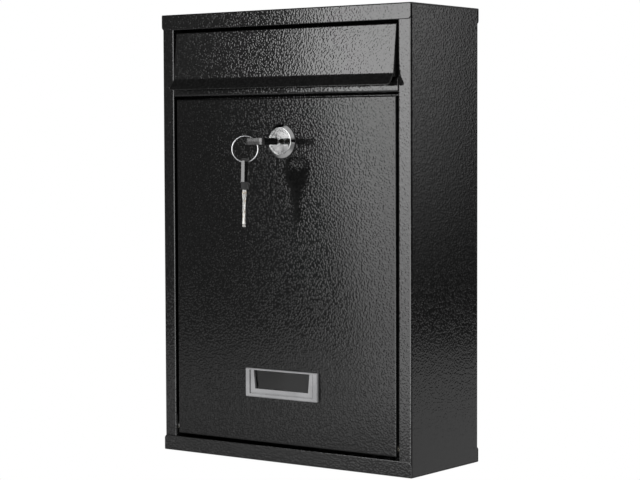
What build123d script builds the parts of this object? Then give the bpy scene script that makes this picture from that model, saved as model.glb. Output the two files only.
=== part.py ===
"""Wall mounted mailbox: a folded steel case with a lift-up mail flap, a drop-down locked
door, a cam lock with its key, a ring with a spare key, and a name plate holder.

Frame: +Z up, the front faces -Y, +X is to the right of someone facing the front.
The origin is on the outer face of the back panel, in the middle of the four wall screws.
All lengths are in millimetres, all angles in degrees.
"""

from build123d import *
from math import cos, radians, sin, sqrt, tan
import os

os.makedirs("parts", exist_ok=True)

# Case: one bent sheet round the back, sides and front stiles, closed by two folded caps
BOX_WIDTH = 220.0
BOX_HEIGHT = 321.0
BOX_DEPTH = 86.0
SHEET = 0.8
BEND_RADIUS = 1.3
BACK_BEND_RADIUS = 0.9
CAP_BEND_RADIUS = 0.85
EDGE_BREAK = 0.7
CAP_OVERHANG = 0.05
STILE_WIDTH = 10.55
TOP_LIP_HEIGHT = 11.2
BOTTOM_LIP_HEIGHT = 11.0
LIP_CORNER_RADIUS = 2.6
FIT_GAP = 0.05
RUNNING_GAP = 0.08

# Wall screws
SCREW_SPACING_X = 140.0
SCREW_SPACING_Z = 170.0
SCREW_HOLE_DIAMETER = 6.5

# Rail between the mail slot and the door
SLOT_HEIGHT = 38.7
RAIL_HEIGHT = 10.0
RAIL_FACE_GAP = 0.3
KEEPER_DROP = 10.0

# Flap over the mail slot
FLAP_SIDE_GAP = 2.3
FLAP_SHIFT = 1.2
FLAP_TOP_GAP = 2.65
FLAP_TOP_PROUD = 0.5
FLAP_BEND_PROUD = 4.2
FLAP_BEND_ABOVE_RAIL = 2.2
FLAP_BEND_RADIUS = 2.4
PULL_REACH = 5.4
PULL_DROP = 7.2
PULL_CORNER_RADIUS = 1.6
EAR_DEPTH = 9.0
EAR_FOOT = 5.4
EAR_BELOW_ROD = 6.0
EAR_CORNER_RADIUS = 2.0
FOOT_GAP = 0.3
ROD_DIAMETER = 3.0
ROD_BEHIND_FACE = 4.5
ROD_BELOW_TOP = 4.5
ROD_END_GAP = 0.3

# Angle tabs that carry the flap's rod and the door's pins
TAB_THICKNESS = 1.2
TAB_BEND_RADIUS = 1.8
TAB_CORNER = 2.4
FLAP_TAB_CLEARANCE = 0.6
FLAP_TAB_FLANGE = 6.0
FLAP_TAB_MARGIN = 5.0
DOOR_TAB_FLANGE = 8.0
DOOR_TAB_HEIGHT = 18.0
DOOR_TAB_DEPTH = 13.0

# Door: a folded pan that drops open on two shoulder rivets near its lower edge
DOOR_SIDE_GAP = 2.0
DOOR_TOP_GAP = 2.1
DOOR_BOTTOM_GAP = 2.0
DOOR_SET_BACK = 0.3
DOOR_DEPTH = 18.0
DOOR_BEND_RADIUS = 1.2
DOOR_STOP_GAP = 0.4
PIN_BEHIND_FACE = 5.5
PIN_ABOVE_EDGE = 5.0
PIN_DIAMETER = 4.0
PIN_HEAD_DIAMETER = 7.0
PIN_HEAD_HEIGHT = 1.4
PIN_SHOULDER_DIAMETER = 6.0
PIN_SHOULDER_LENGTH = 1.8
PIN_TAIL_DIAMETER = 6.0
PIN_TAIL_HEIGHT = 1.0
PIN_PLAY = 0.2

# Cam lock
LOCK_BELOW_DOOR_TOP = 30.8
BEZEL_DIAMETER = 24.1
BEZEL_RIM = 0.6
BEZEL_HEIGHT = 2.6
BEZEL_FACE_DIAMETER = 19.6
BARREL_DIAMETER = 18.0
BARREL_FLATS = 16.0
PLUG_FACE_DIAMETER = 17.0
PLUG_FACE_THICKNESS = 1.8
PLUG_RIM_WIDTH = 1.1
PLUG_DISH = 0.3
PLUG_DIAMETER = 11.0
KEYWAY_BOSS_DIAMETER = 8.6
TAIL_SQUARE = 6.4
NUT_ACROSS_FLATS = 24.0
NUT_THICKNESS = 4.0
CAM_GAP = 0.3
CAM_THICKNESS = 1.6
CAM_OVERLAP = 5.5
CAM_HUB_RADIUS = 8.0
CAM_TIP_RADIUS = 5.0
WASHER_DIAMETER = 11.0
WASHER_THICKNESS = 0.8
SCREW_DIAMETER = 4.0
SCREW_TIP_GAP = 0.3
SCREW_HEAD_DIAMETER = 7.2
SCREW_HEAD_HEIGHT = 2.2
SCREW_HEAD_BEVEL = 0.9
DRIVE_SLOT_LENGTH = 4.2
DRIVE_SLOT_WIDTH = 0.9
DRIVE_SLOT_DEPTH = 1.1

# Keys
KEY_SEAT_GAP = 0.3
BLADE_LENGTH = 18.7
BLADE_WIDTH = 6.4
BLADE_THICKNESS = 2.0
BLADE_TIP = 2.2
KEYWAY_CLEARANCE = 0.2
BITTING_PITCH = 3.2
BITTING_START = 4.6
BITTING_DEPTHS = (1.0, 1.6, 0.7, 1.3)
BITTING_FLAT = 0.5
GROOVE_WIDTH = 1.3
GROOVE_DEPTH = 0.45
STEM_LENGTH = 6.9
STEM_WIDTH = 8.6
STEM_THICKNESS = 2.6
TANG_LENGTH = 8.0
TANG_WIDTH = 6.0
BOW_LENGTH = 22.5
BOW_WIDTH = 17.0
BOW_THICKNESS = 4.65
BOW_DRAFT = 6.0
BOW_CORNER_RADIUS = 3.2
BOW_NECK_WIDTH = 9.6
BOW_NECK_LENGTH = 5.5
BOW_WALL = 2.1
BOW_HOLE_LENGTH = 6.0
BOW_HOLE_CORNER = 1.8
PANEL_WIDTH = 10.0
PANEL_LENGTH = 5.0
PANEL_DEPTH = 0.35

# Ring through both key heads
RING_TURN = 36.5
RING_RADIUS = 9.0
RING_WIRE_DIAMETER = 1.1
RING_WIRE_SIDES = 6
RING_SWAY = 1.5
RING_PLAY = 0.4
RING_SEAM = 1.5
SPARE_LEAN = 1.2

# Name plate holder
NAME_WIDTH = 64.2
NAME_HEIGHT = 20.5
NAME_ABOVE_DOOR_EDGE = 42.9
NAME_PROUD = 2.4
NAME_CHAMFER = 0.6
NAME_CORNER_RADIUS = 0.8
NAME_LIP_SIDE = 3.9
NAME_LIP_TOP = 1.1
NAME_LIP_BOTTOM = 2.4
NAME_STEP = 0.7
NAME_BAND = 3.6
NAME_SIDE_BAND = 2.0
NAME_BAND_SLANT = 5.5
NAME_GROOVE_WIDTH = 0.7
NAME_GROOVE_DEPTH = 0.6
NAME_BAND_THICKNESS = 1.8
NAME_CARD_LAP = 2.4
NAME_CARD_PLAY = 0.1
NAME_SKIRT_WALL = 0.9
NAME_BACK_WALL = 0.8
NAME_CUTOUT_GAP = 0.15
NAME_CLIP_LENGTH = 5.0
NAME_CLIP_REACH = 0.8
NAME_CLIP_GAP = 0.1
WINDOW_THICKNESS = 0.8
CARD_THICKNESS = 0.4

# Places that several pieces share
half_width = BOX_WIDTH / 2
half_height = BOX_HEIGHT / 2
wrap_half = half_width - CAP_OVERHANG
wrap_inner = wrap_half - SHEET
opening_half = wrap_half - STILE_WIDTH
front_y = 2 * SHEET - BOX_DEPTH
stile_back = front_y + SHEET
wrap_top = half_height - CAP_BEND_RADIUS
cap_underside = half_height - SHEET

rail_top = half_height - TOP_LIP_HEIGHT - SLOT_HEIGHT
rail_bottom = rail_top - RAIL_HEIGHT
door_y = front_y + DOOR_SET_BACK
door_back = door_y + DOOR_DEPTH
door_half = opening_half - DOOR_SIDE_GAP
door_top = rail_bottom - DOOR_TOP_GAP
door_bottom = -half_height + BOTTOM_LIP_HEIGHT + DOOR_BOTTOM_GAP
door_inner = door_y + SHEET
keeper_y = door_back + DOOR_STOP_GAP
rail_back = keeper_y + SHEET
keeper_low = rail_bottom - KEEPER_DROP

flap_half = opening_half - FLAP_SIDE_GAP
flap_left = FLAP_SHIFT - flap_half
flap_top = half_height - TOP_LIP_HEIGHT - FLAP_TOP_GAP
flap_top_y = front_y - FLAP_TOP_PROUD
flap_bend_z = rail_top + FLAP_BEND_ABOVE_RAIL
flap_bend_y = front_y - FLAP_BEND_PROUD
foot_z = rail_top + FOOT_GAP
rod_y = flap_top_y + ROD_BEHIND_FACE
rod_z = flap_top - ROD_BELOW_TOP
rod_radius = ROD_DIAMETER / 2

pin_y = door_y + PIN_BEHIND_FACE
pin_z = door_bottom + PIN_ABOVE_EDGE
pin_radius = PIN_DIAMETER / 2
door_tab_x = door_half + PIN_SHOULDER_LENGTH + PIN_PLAY

lock_z = door_top - LOCK_BELOW_DOOR_TOP
lock_face_y = door_y - BEZEL_HEIGHT
cam_y = rail_back + CAM_GAP
barrel_end = cam_y - FIT_GAP
cam_length = keeper_low - lock_z + CAM_OVERLAP
keyway_depth = BLADE_LENGTH + KEYWAY_CLEARANCE


def strip(points, bend, side, thickness=SHEET):
    """Cross-section of a folded sheet: a line with round bends, thickened to one side."""
    with BuildLine() as fold:
        FilletPolyline(*points, radius=bend)
        offset(amount=thickness, side=side)
    make_face(fold.edges())


# Case wrap: outer line from the left stile round the back to the right stile
with BuildPart() as case_wrap:
    with BuildSketch(Plane.XY.offset(-wrap_top)):
        strip(
            [
                (-opening_half, front_y),
                (-wrap_half, front_y),
                (-wrap_half, 0),
                (wrap_half, 0),
                (wrap_half, front_y),
                (opening_half, front_y),
            ],
            [BEND_RADIUS, BACK_BEND_RADIUS, BACK_BEND_RADIUS, BEND_RADIUS],
            Side.RIGHT,
        )
    extrude(amount=2 * wrap_top)
    upright_edges = case_wrap.edges().filter_by(Axis.Z).group_by(Axis.Y)[0]
    fillet(upright_edges.sort_by(lambda edge: abs(edge.center().X))[:2], radius=EDGE_BREAK)
    with BuildSketch(Plane.XZ):
        with GridLocations(SCREW_SPACING_X, SCREW_SPACING_Z, 2, 2):
            Circle(SCREW_HOLE_DIAMETER / 2)
    extrude(amount=SHEET, mode=Mode.SUBTRACT)
case_wrap.part.label = "case_wrap"
export_step(case_wrap.part, "parts/case_wrap.step")

# Top cap and bottom tray: channels whose lips lie over the wrap at the front and the back
cap_planes = {
    "top_cap": (Plane.YZ.offset(-half_width), TOP_LIP_HEIGHT),
    "bottom_tray": (Plane((half_width, 0, 0), (0, 1, 0), (-1, 0, 0)), BOTTOM_LIP_HEIGHT),
}
for cap_name, (cap_plane, lip_height) in cap_planes.items():
    with BuildPart() as cap:
        with BuildSketch(cap_plane):
            strip(
                [
                    (SHEET, half_height - lip_height),
                    (SHEET, half_height),
                    (front_y - SHEET, half_height),
                    (front_y - SHEET, half_height - lip_height),
                ],
                CAP_BEND_RADIUS,
                Side.LEFT,
            )
        extrude(amount=BOX_WIDTH)
        lip_corners = cap.edges().filter_by(Axis.Y).filter_by(lambda edge: edge.length < 2 * SHEET)
        fillet(lip_corners, radius=LIP_CORNER_RADIUS)
    cap.part.label = cap_name
    export_step(cap.part, f"parts/{cap_name}.step")

# Slot rail: sill, face, lower flange and the keeper lip that the cam turns up behind
rail_half = wrap_half - BEND_RADIUS - FIT_GAP
rail_face_half = opening_half - RAIL_FACE_GAP
with BuildPart() as slot_rail:
    with BuildSketch(Plane.YZ.offset(-rail_half)):
        strip(
            [
                (rail_back, rail_top),
                (front_y, rail_top),
                (front_y, rail_bottom),
                (keeper_y, rail_bottom),
                (keeper_y, keeper_low),
            ],
            BEND_RADIUS,
            Side.LEFT,
        )
    extrude(amount=2 * rail_half)
    with BuildSketch(Plane.XY.offset(rail_bottom - SHEET)):
        for side in (-1, 1):
            with Locations((side * (rail_face_half + wrap_half) / 2, front_y)):
                Rectangle(wrap_half - rail_face_half, 2 * SHEET)
    extrude(amount=RAIL_HEIGHT + 2 * SHEET, mode=Mode.SUBTRACT)
slot_rail.part.label = "slot_rail"
export_step(slot_rail.part, "parts/slot_rail.step")

# Flap tabs: angles under the top that carry the ends of the hinge rod behind the stiles
tab_x = opening_half + FLAP_TAB_CLEARANCE
tab_back = rod_y + rod_radius + FLAP_TAB_MARGIN
for side_name, side in (("left", -1), ("right", 1)):
    with BuildPart() as flap_tab:
        with BuildSketch(Plane.XZ.offset(-tab_back)):
            strip(
                [
                    (side * tab_x, rod_z - rod_radius - FLAP_TAB_MARGIN),
                    (side * tab_x, cap_underside),
                    (side * (tab_x + FLAP_TAB_FLANGE), cap_underside),
                ],
                TAB_BEND_RADIUS,
                Side.RIGHT if side > 0 else Side.LEFT,
                TAB_THICKNESS,
            )
        extrude(amount=tab_back - stile_back)
        low_corners = flap_tab.edges().filter_by(Axis.X).group_by(Axis.Z)[0]
        chamfer(low_corners.sort_by(Axis.Y)[-1:], length=TAB_CORNER)
        with BuildSketch(Plane.YZ.offset(-half_width)):
            with Locations((rod_y, rod_z)):
                Circle(rod_radius + FIT_GAP)
        extrude(amount=BOX_WIDTH, mode=Mode.SUBTRACT)
    flap_tab.part.label = f"flap_bracket_{side_name}"
    export_step(flap_tab.part, f"parts/flap_bracket_{side_name}.step")

# Hinge rod of the flap, held endways by the case sides
rod_half = wrap_inner - ROD_END_GAP
with BuildPart() as flap_rod:
    with BuildSketch(Plane.YZ.offset(-rod_half)):
        with Locations((rod_y, rod_z)):
            Circle(rod_radius)
    extrude(amount=2 * rod_half)
flap_rod.part.label = "flap_hinge_rod"
export_step(flap_rod.part, "parts/flap_hinge_rod.step")

# Flap: a plate that leans out at its foot, a flared pull lip and two ears for the rod.
# It hangs at the right end of its play along the rod.
ear_back = flap_top_y + EAR_DEPTH
foot_back = flap_bend_y + SHEET + EAR_FOOT
with BuildPart() as flap:
    with BuildSketch(Plane.YZ.offset(flap_left)):
        strip(
            [
                (flap_top_y, flap_top),
                (flap_bend_y, flap_bend_z),
                (flap_bend_y - PULL_REACH, flap_bend_z - PULL_DROP),
            ],
            FLAP_BEND_RADIUS,
            Side.LEFT,
        )
    extrude(amount=2 * flap_half)
    for ear_x in (flap_left, flap_left + 2 * flap_half - SHEET):
        with BuildSketch(Plane.YZ.offset(ear_x)):
            with BuildLine():
                Polyline(
                    (flap_top_y + SHEET / 2, flap_top),
                    (flap_bend_y + SHEET / 2, foot_z + FLAP_BEND_RADIUS),
                    (flap_bend_y + SHEET, foot_z),
                    (foot_back, foot_z),
                    (ear_back, rod_z - EAR_BELOW_ROD),
                    (ear_back, flap_top),
                    close=True,
                )
            make_face()
        extrude(amount=SHEET)
    ear_corners = flap.edges().filter_by(Axis.X).group_by(Axis.Y)[-1]
    fillet(ear_corners, radius=EAR_CORNER_RADIUS)
    pull_corners = flap.edges().filter_by(lambda edge: edge.length < 1.2 * SHEET)
    fillet(pull_corners.group_by(Axis.Z)[0], radius=PULL_CORNER_RADIUS)
    with BuildSketch(Plane.YZ.offset(flap_left)):
        with Locations((rod_y, rod_z)):
            Circle(rod_radius + RUNNING_GAP)
    extrude(amount=2 * flap_half, mode=Mode.SUBTRACT)
flap.part.label = "flap"
export_step(flap.part, "parts/flap.step")

# Door tabs: angles behind the stiles that carry the pins the door turns on
for side_name, side in (("left", -1), ("right", 1)):
    with BuildPart() as door_tab:
        with BuildSketch(Plane.XY.offset(pin_z - DOOR_TAB_HEIGHT / 2)):
            strip(
                [
                    (side * door_tab_x, stile_back + DOOR_TAB_DEPTH),
                    (side * door_tab_x, stile_back),
                    (side * (door_tab_x + DOOR_TAB_FLANGE), stile_back),
                ],
                TAB_BEND_RADIUS,
                Side.LEFT if side > 0 else Side.RIGHT,
                TAB_THICKNESS,
            )
        extrude(amount=DOOR_TAB_HEIGHT)
        back_corners = door_tab.edges().filter_by(Axis.X).group_by(Axis.Y)[-1]
        chamfer(back_corners, length=TAB_CORNER)
        with BuildSketch(Plane.YZ.offset(-half_width)):
            with Locations((pin_y, pin_z)):
                Circle(pin_radius + FIT_GAP)
        extrude(amount=BOX_WIDTH, mode=Mode.SUBTRACT)
    door_tab.part.label = f"door_bracket_{side_name}"
    export_step(door_tab.part, f"parts/door_bracket_{side_name}.step")

# Door pins: shoulder rivets with a head inside the pan and a set tail behind the tab
pin_head_x = door_half - SHEET - PIN_PLAY - PIN_HEAD_HEIGHT
pin_steps = [
    (pin_head_x, PIN_HEAD_HEIGHT, PIN_HEAD_DIAMETER),
    (pin_head_x, door_tab_x + TAB_THICKNESS + PIN_TAIL_HEIGHT - pin_head_x, PIN_DIAMETER),
    (door_half + PIN_PLAY, PIN_SHOULDER_LENGTH, PIN_SHOULDER_DIAMETER),
    (door_tab_x + TAB_THICKNESS, PIN_TAIL_HEIGHT, PIN_TAIL_DIAMETER),
]
for side_name, side in (("left", -1), ("right", 1)):
    with BuildPart() as door_pin:
        for start_x, length, diameter in pin_steps:
            with BuildSketch(Plane((side * start_x, pin_y, pin_z), (0, 1, 0), (side, 0, 0))):
                Circle(diameter / 2)
            extrude(amount=length)
    door_pin.part.label = f"door_pin_{side_name}"
    export_step(door_pin.part, f"parts/door_pin_{side_name}.step")

# Name plate holder sizes: lip round the outside, a lower U-shaped band, the window in it
name_z = door_bottom + NAME_ABOVE_DOOR_EDGE
name_top = name_z + NAME_HEIGHT / 2
name_front = door_y - NAME_PROUD
recess_width = NAME_WIDTH - 2 * NAME_LIP_SIDE
recess_height = NAME_HEIGHT - NAME_LIP_TOP - NAME_LIP_BOTTOM
window_top = name_top - NAME_LIP_TOP
recess_z = window_top - recess_height / 2
window_width = recess_width - 2 * NAME_SIDE_BAND
window_height = recess_height - NAME_BAND
window_foot = window_width - 2 * window_height * tan(radians(NAME_BAND_SLANT))
window_z = window_top - window_height / 2
band_y = name_front + NAME_STEP
pocket_y = band_y + NAME_BAND_THICKNESS
pocket_width = window_width + 2 * NAME_CARD_LAP
pocket_height = window_height + NAME_CARD_LAP + NAME_CARD_PLAY
pocket_z = window_top + NAME_CARD_PLAY - pocket_height / 2
pocket_depth = WINDOW_THICKNESS + CARD_THICKNESS + 2 * NAME_CARD_PLAY
skirt_width = pocket_width + 2 * NAME_SKIRT_WALL
skirt_height = pocket_height + 2 * NAME_SKIRT_WALL
skirt_back = pocket_y + pocket_depth + NAME_BACK_WALL

# Door panel: a pan with its four edges folded back, open behind
with BuildPart() as door_panel:
    with BuildSketch(Plane.XZ.offset(-door_back)):
        with Locations((0, (door_top + door_bottom) / 2)):
            Rectangle(2 * door_half, door_top - door_bottom)
    extrude(amount=DOOR_DEPTH)
    fillet(door_panel.faces().sort_by(Axis.Y)[0].edges(), radius=DOOR_BEND_RADIUS)
    offset(amount=-SHEET, openings=door_panel.faces().sort_by(Axis.Y)[-1])
    with BuildSketch(Plane.XZ.offset(-door_inner)):
        with Locations((0, lock_z)):
            Circle(BARREL_DIAMETER / 2 + FIT_GAP)
            Rectangle(BARREL_FLATS + 2 * FIT_GAP, BARREL_DIAMETER * 2, mode=Mode.INTERSECT)
        with Locations((0, pocket_z)):
            Rectangle(skirt_width + 2 * NAME_CUTOUT_GAP, skirt_height + 2 * NAME_CUTOUT_GAP)
    extrude(amount=SHEET, mode=Mode.SUBTRACT)
    with BuildSketch(Plane.YZ.offset(-door_half)):
        with Locations((pin_y, pin_z)):
            Circle(pin_radius + RUNNING_GAP)
    extrude(amount=2 * door_half, mode=Mode.SUBTRACT)
door_panel.part.label = "door_panel"
export_step(door_panel.part, "parts/door_panel.step")

# Lock housing: a conical bezel in front of the door and a barrel with two flats behind it
lock_axis = Axis((0, door_y, lock_z), (0, 1, 0))
lock_section = Plane((0, door_y, lock_z), (1, 0, 0), (0, 0, 1))
face_back = -BEZEL_HEIGHT + PLUG_FACE_THICKNESS
with BuildPart() as lock_housing:
    with BuildSketch(lock_section):
        with BuildLine():
            Polyline(
                (PLUG_DIAMETER / 2 + RUNNING_GAP, barrel_end - door_y),
                (BARREL_DIAMETER / 2, barrel_end - door_y),
                (BARREL_DIAMETER / 2, 0),
                (BEZEL_DIAMETER / 2, 0),
                (BEZEL_DIAMETER / 2, -BEZEL_RIM),
                (BEZEL_FACE_DIAMETER / 2, -BEZEL_HEIGHT),
                (PLUG_FACE_DIAMETER / 2 + RUNNING_GAP, -BEZEL_HEIGHT),
                (PLUG_FACE_DIAMETER / 2 + RUNNING_GAP, face_back + RUNNING_GAP),
                (PLUG_DIAMETER / 2 + RUNNING_GAP, face_back + RUNNING_GAP),
                close=True,
            )
        make_face()
    revolve(axis=lock_axis)
    with BuildSketch(Plane((0, door_y, lock_z), (1, 0, 0), (0, 1, 0))):
        Circle(BARREL_DIAMETER)
        Rectangle(BARREL_FLATS, 2 * BARREL_DIAMETER, mode=Mode.SUBTRACT)
    extrude(amount=barrel_end - door_y, mode=Mode.SUBTRACT)
lock_housing.part.label = "lock_housing"
export_step(lock_housing.part, "parts/lock_housing.step")

# Lock nut: a hexagon clamped against the inside of the door
with BuildPart() as lock_nut:
    with BuildSketch(Plane((0, door_inner, lock_z), (1, 0, 0), (0, 1, 0))):
        RegularPolygon(NUT_ACROSS_FLATS / 2, 6, major_radius=False)
        Circle(BARREL_DIAMETER / 2 + FIT_GAP, mode=Mode.SUBTRACT)
    extrude(amount=NUT_THICKNESS)
lock_nut.part.label = "lock_nut"
export_step(lock_nut.part, "parts/lock_nut.step")

# Lock plug: dished face, body, square tail for the cam, keyway and a tapped hole behind
tail_end = cam_y + CAM_THICKNESS - FIT_GAP
face_plane = Plane((0, lock_face_y, lock_z), (1, 0, 0), (0, 1, 0))
dish_radius = PLUG_FACE_DIAMETER / 2 - PLUG_RIM_WIDTH
with BuildPart() as lock_plug:
    with BuildSketch(lock_section):
        with BuildLine():
            Polyline(
                (0, PLUG_DISH - BEZEL_HEIGHT),
                (dish_radius, PLUG_DISH - BEZEL_HEIGHT),
                (dish_radius + PLUG_DISH, -BEZEL_HEIGHT),
                (PLUG_FACE_DIAMETER / 2, -BEZEL_HEIGHT),
                (PLUG_FACE_DIAMETER / 2, face_back),
                (PLUG_DIAMETER / 2, face_back),
                (PLUG_DIAMETER / 2, barrel_end - door_y),
                (0, barrel_end - door_y),
                close=True,
            )
        make_face()
    revolve(axis=lock_axis)
    with BuildSketch(face_plane):
        Circle(KEYWAY_BOSS_DIAMETER / 2)
    extrude(amount=PLUG_FACE_THICKNESS)
    with BuildSketch(Plane((0, barrel_end, lock_z), (1, 0, 0), (0, 1, 0))):
        Rectangle(TAIL_SQUARE, TAIL_SQUARE)
    extrude(amount=tail_end - barrel_end)
    with BuildSketch(face_plane):
        Rectangle(BLADE_WIDTH + 2 * KEYWAY_CLEARANCE, BLADE_THICKNESS + 2 * KEYWAY_CLEARANCE)
    extrude(amount=keyway_depth, mode=Mode.SUBTRACT)
    with BuildSketch(Plane((0, tail_end, lock_z), (1, 0, 0), (0, -1, 0))):
        Circle(SCREW_DIAMETER / 2 + FIT_GAP)
    extrude(amount=tail_end - lock_face_y - keyway_depth, mode=Mode.SUBTRACT)
lock_plug.part.label = "lock_plug"
export_step(lock_plug.part, "parts/lock_plug.step")

# Cam: points to the left with the door unlocked, and up behind the keeper when locked
with BuildPart() as lock_cam:
    with BuildSketch(Plane((0, cam_y + CAM_THICKNESS, lock_z), (1, 0, 0), (0, -1, 0))):
        Circle(CAM_HUB_RADIUS)
        with Locations((CAM_TIP_RADIUS - cam_length, 0)):
            Circle(CAM_TIP_RADIUS)
        make_hull()
        Rectangle(TAIL_SQUARE + 2 * FIT_GAP, TAIL_SQUARE + 2 * FIT_GAP, mode=Mode.SUBTRACT)
    extrude(amount=CAM_THICKNESS)
lock_cam.part.label = "lock_cam"
export_step(lock_cam.part, "parts/lock_cam.step")

# Washer and screw that hold the cam on the plug's tail
washer_y = cam_y + CAM_THICKNESS
with BuildPart() as cam_washer:
    with BuildSketch(Plane((0, washer_y, lock_z), (1, 0, 0), (0, 1, 0))):
        Circle(WASHER_DIAMETER / 2)
        Circle(SCREW_DIAMETER / 2 + FIT_GAP, mode=Mode.SUBTRACT)
    extrude(amount=WASHER_THICKNESS)
cam_washer.part.label = "cam_washer"
export_step(cam_washer.part, "parts/cam_washer.step")

head_y = washer_y + WASHER_THICKNESS
shank_length = head_y - lock_face_y - keyway_depth - SCREW_TIP_GAP
with BuildPart() as cam_screw:
    with BuildSketch(Plane((0, head_y, lock_z), (1, 0, 0), (0, 1, 0))):
        Circle(SCREW_HEAD_DIAMETER / 2)
    extrude(amount=SCREW_HEAD_HEIGHT)
    chamfer(cam_screw.faces().sort_by(Axis.Y)[-1].edges(), length=SCREW_HEAD_BEVEL)
    with BuildSketch(Plane((0, head_y, lock_z), (1, 0, 0), (0, -1, 0))):
        Circle(SCREW_DIAMETER / 2)
    extrude(amount=shank_length)
    with BuildSketch(Plane((0, head_y + SCREW_HEAD_HEIGHT, lock_z), (1, 0, 0), (0, -1, 0))):
        Rectangle(DRIVE_SLOT_LENGTH, DRIVE_SLOT_WIDTH)
        Rectangle(DRIVE_SLOT_WIDTH, DRIVE_SLOT_LENGTH)
    extrude(amount=DRIVE_SLOT_DEPTH, mode=Mode.SUBTRACT)
cam_screw.part.label = "cam_screw"
export_step(cam_screw.part, "parts/cam_screw.step")

# Keys, along their own +Y from the blade's tip to the head, with the lock's face at 0
bow_start = KEY_SEAT_GAP + STEM_LENGTH
bow_end = bow_start + BOW_LENGTH
hole_end = bow_end - BOW_WALL
hole_width = BOW_WIDTH - 2 * BOW_WALL
half_bow = BOW_THICKNESS / 2

# The ring hangs over the front left corner of the key in the lock: the wall there runs
# from the rounded corner of the head to the rounded corner of its hole
wall_outside = BOW_CORNER_RADIUS * (1 - sqrt(0.5))
wall_inside = BOW_WALL + BOW_HOLE_CORNER * (1 - sqrt(0.5))
wall_middle = (wall_outside + wall_inside) / 2
wall_half = (wall_inside - wall_outside) * sqrt(0.5)
wire_radius = RING_WIRE_DIAMETER / 2
across = Vector(cos(radians(RING_TURN)), sin(radians(RING_TURN)), 0)
facing = Vector(sin(radians(RING_TURN)), -cos(radians(RING_TURN)), 0)
wall_point = Vector(wall_middle - BOW_WIDTH / 2, lock_face_y - bow_end + wall_middle, lock_z)
ring_reach = wall_half + RING_SWAY
ring_clear = sqrt((RING_RADIUS - wire_radius) ** 2 - ring_reach**2)
ring_centre = wall_point - across * RING_SWAY + Vector(0, 0, half_bow + RING_PLAY - ring_clear)

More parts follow.
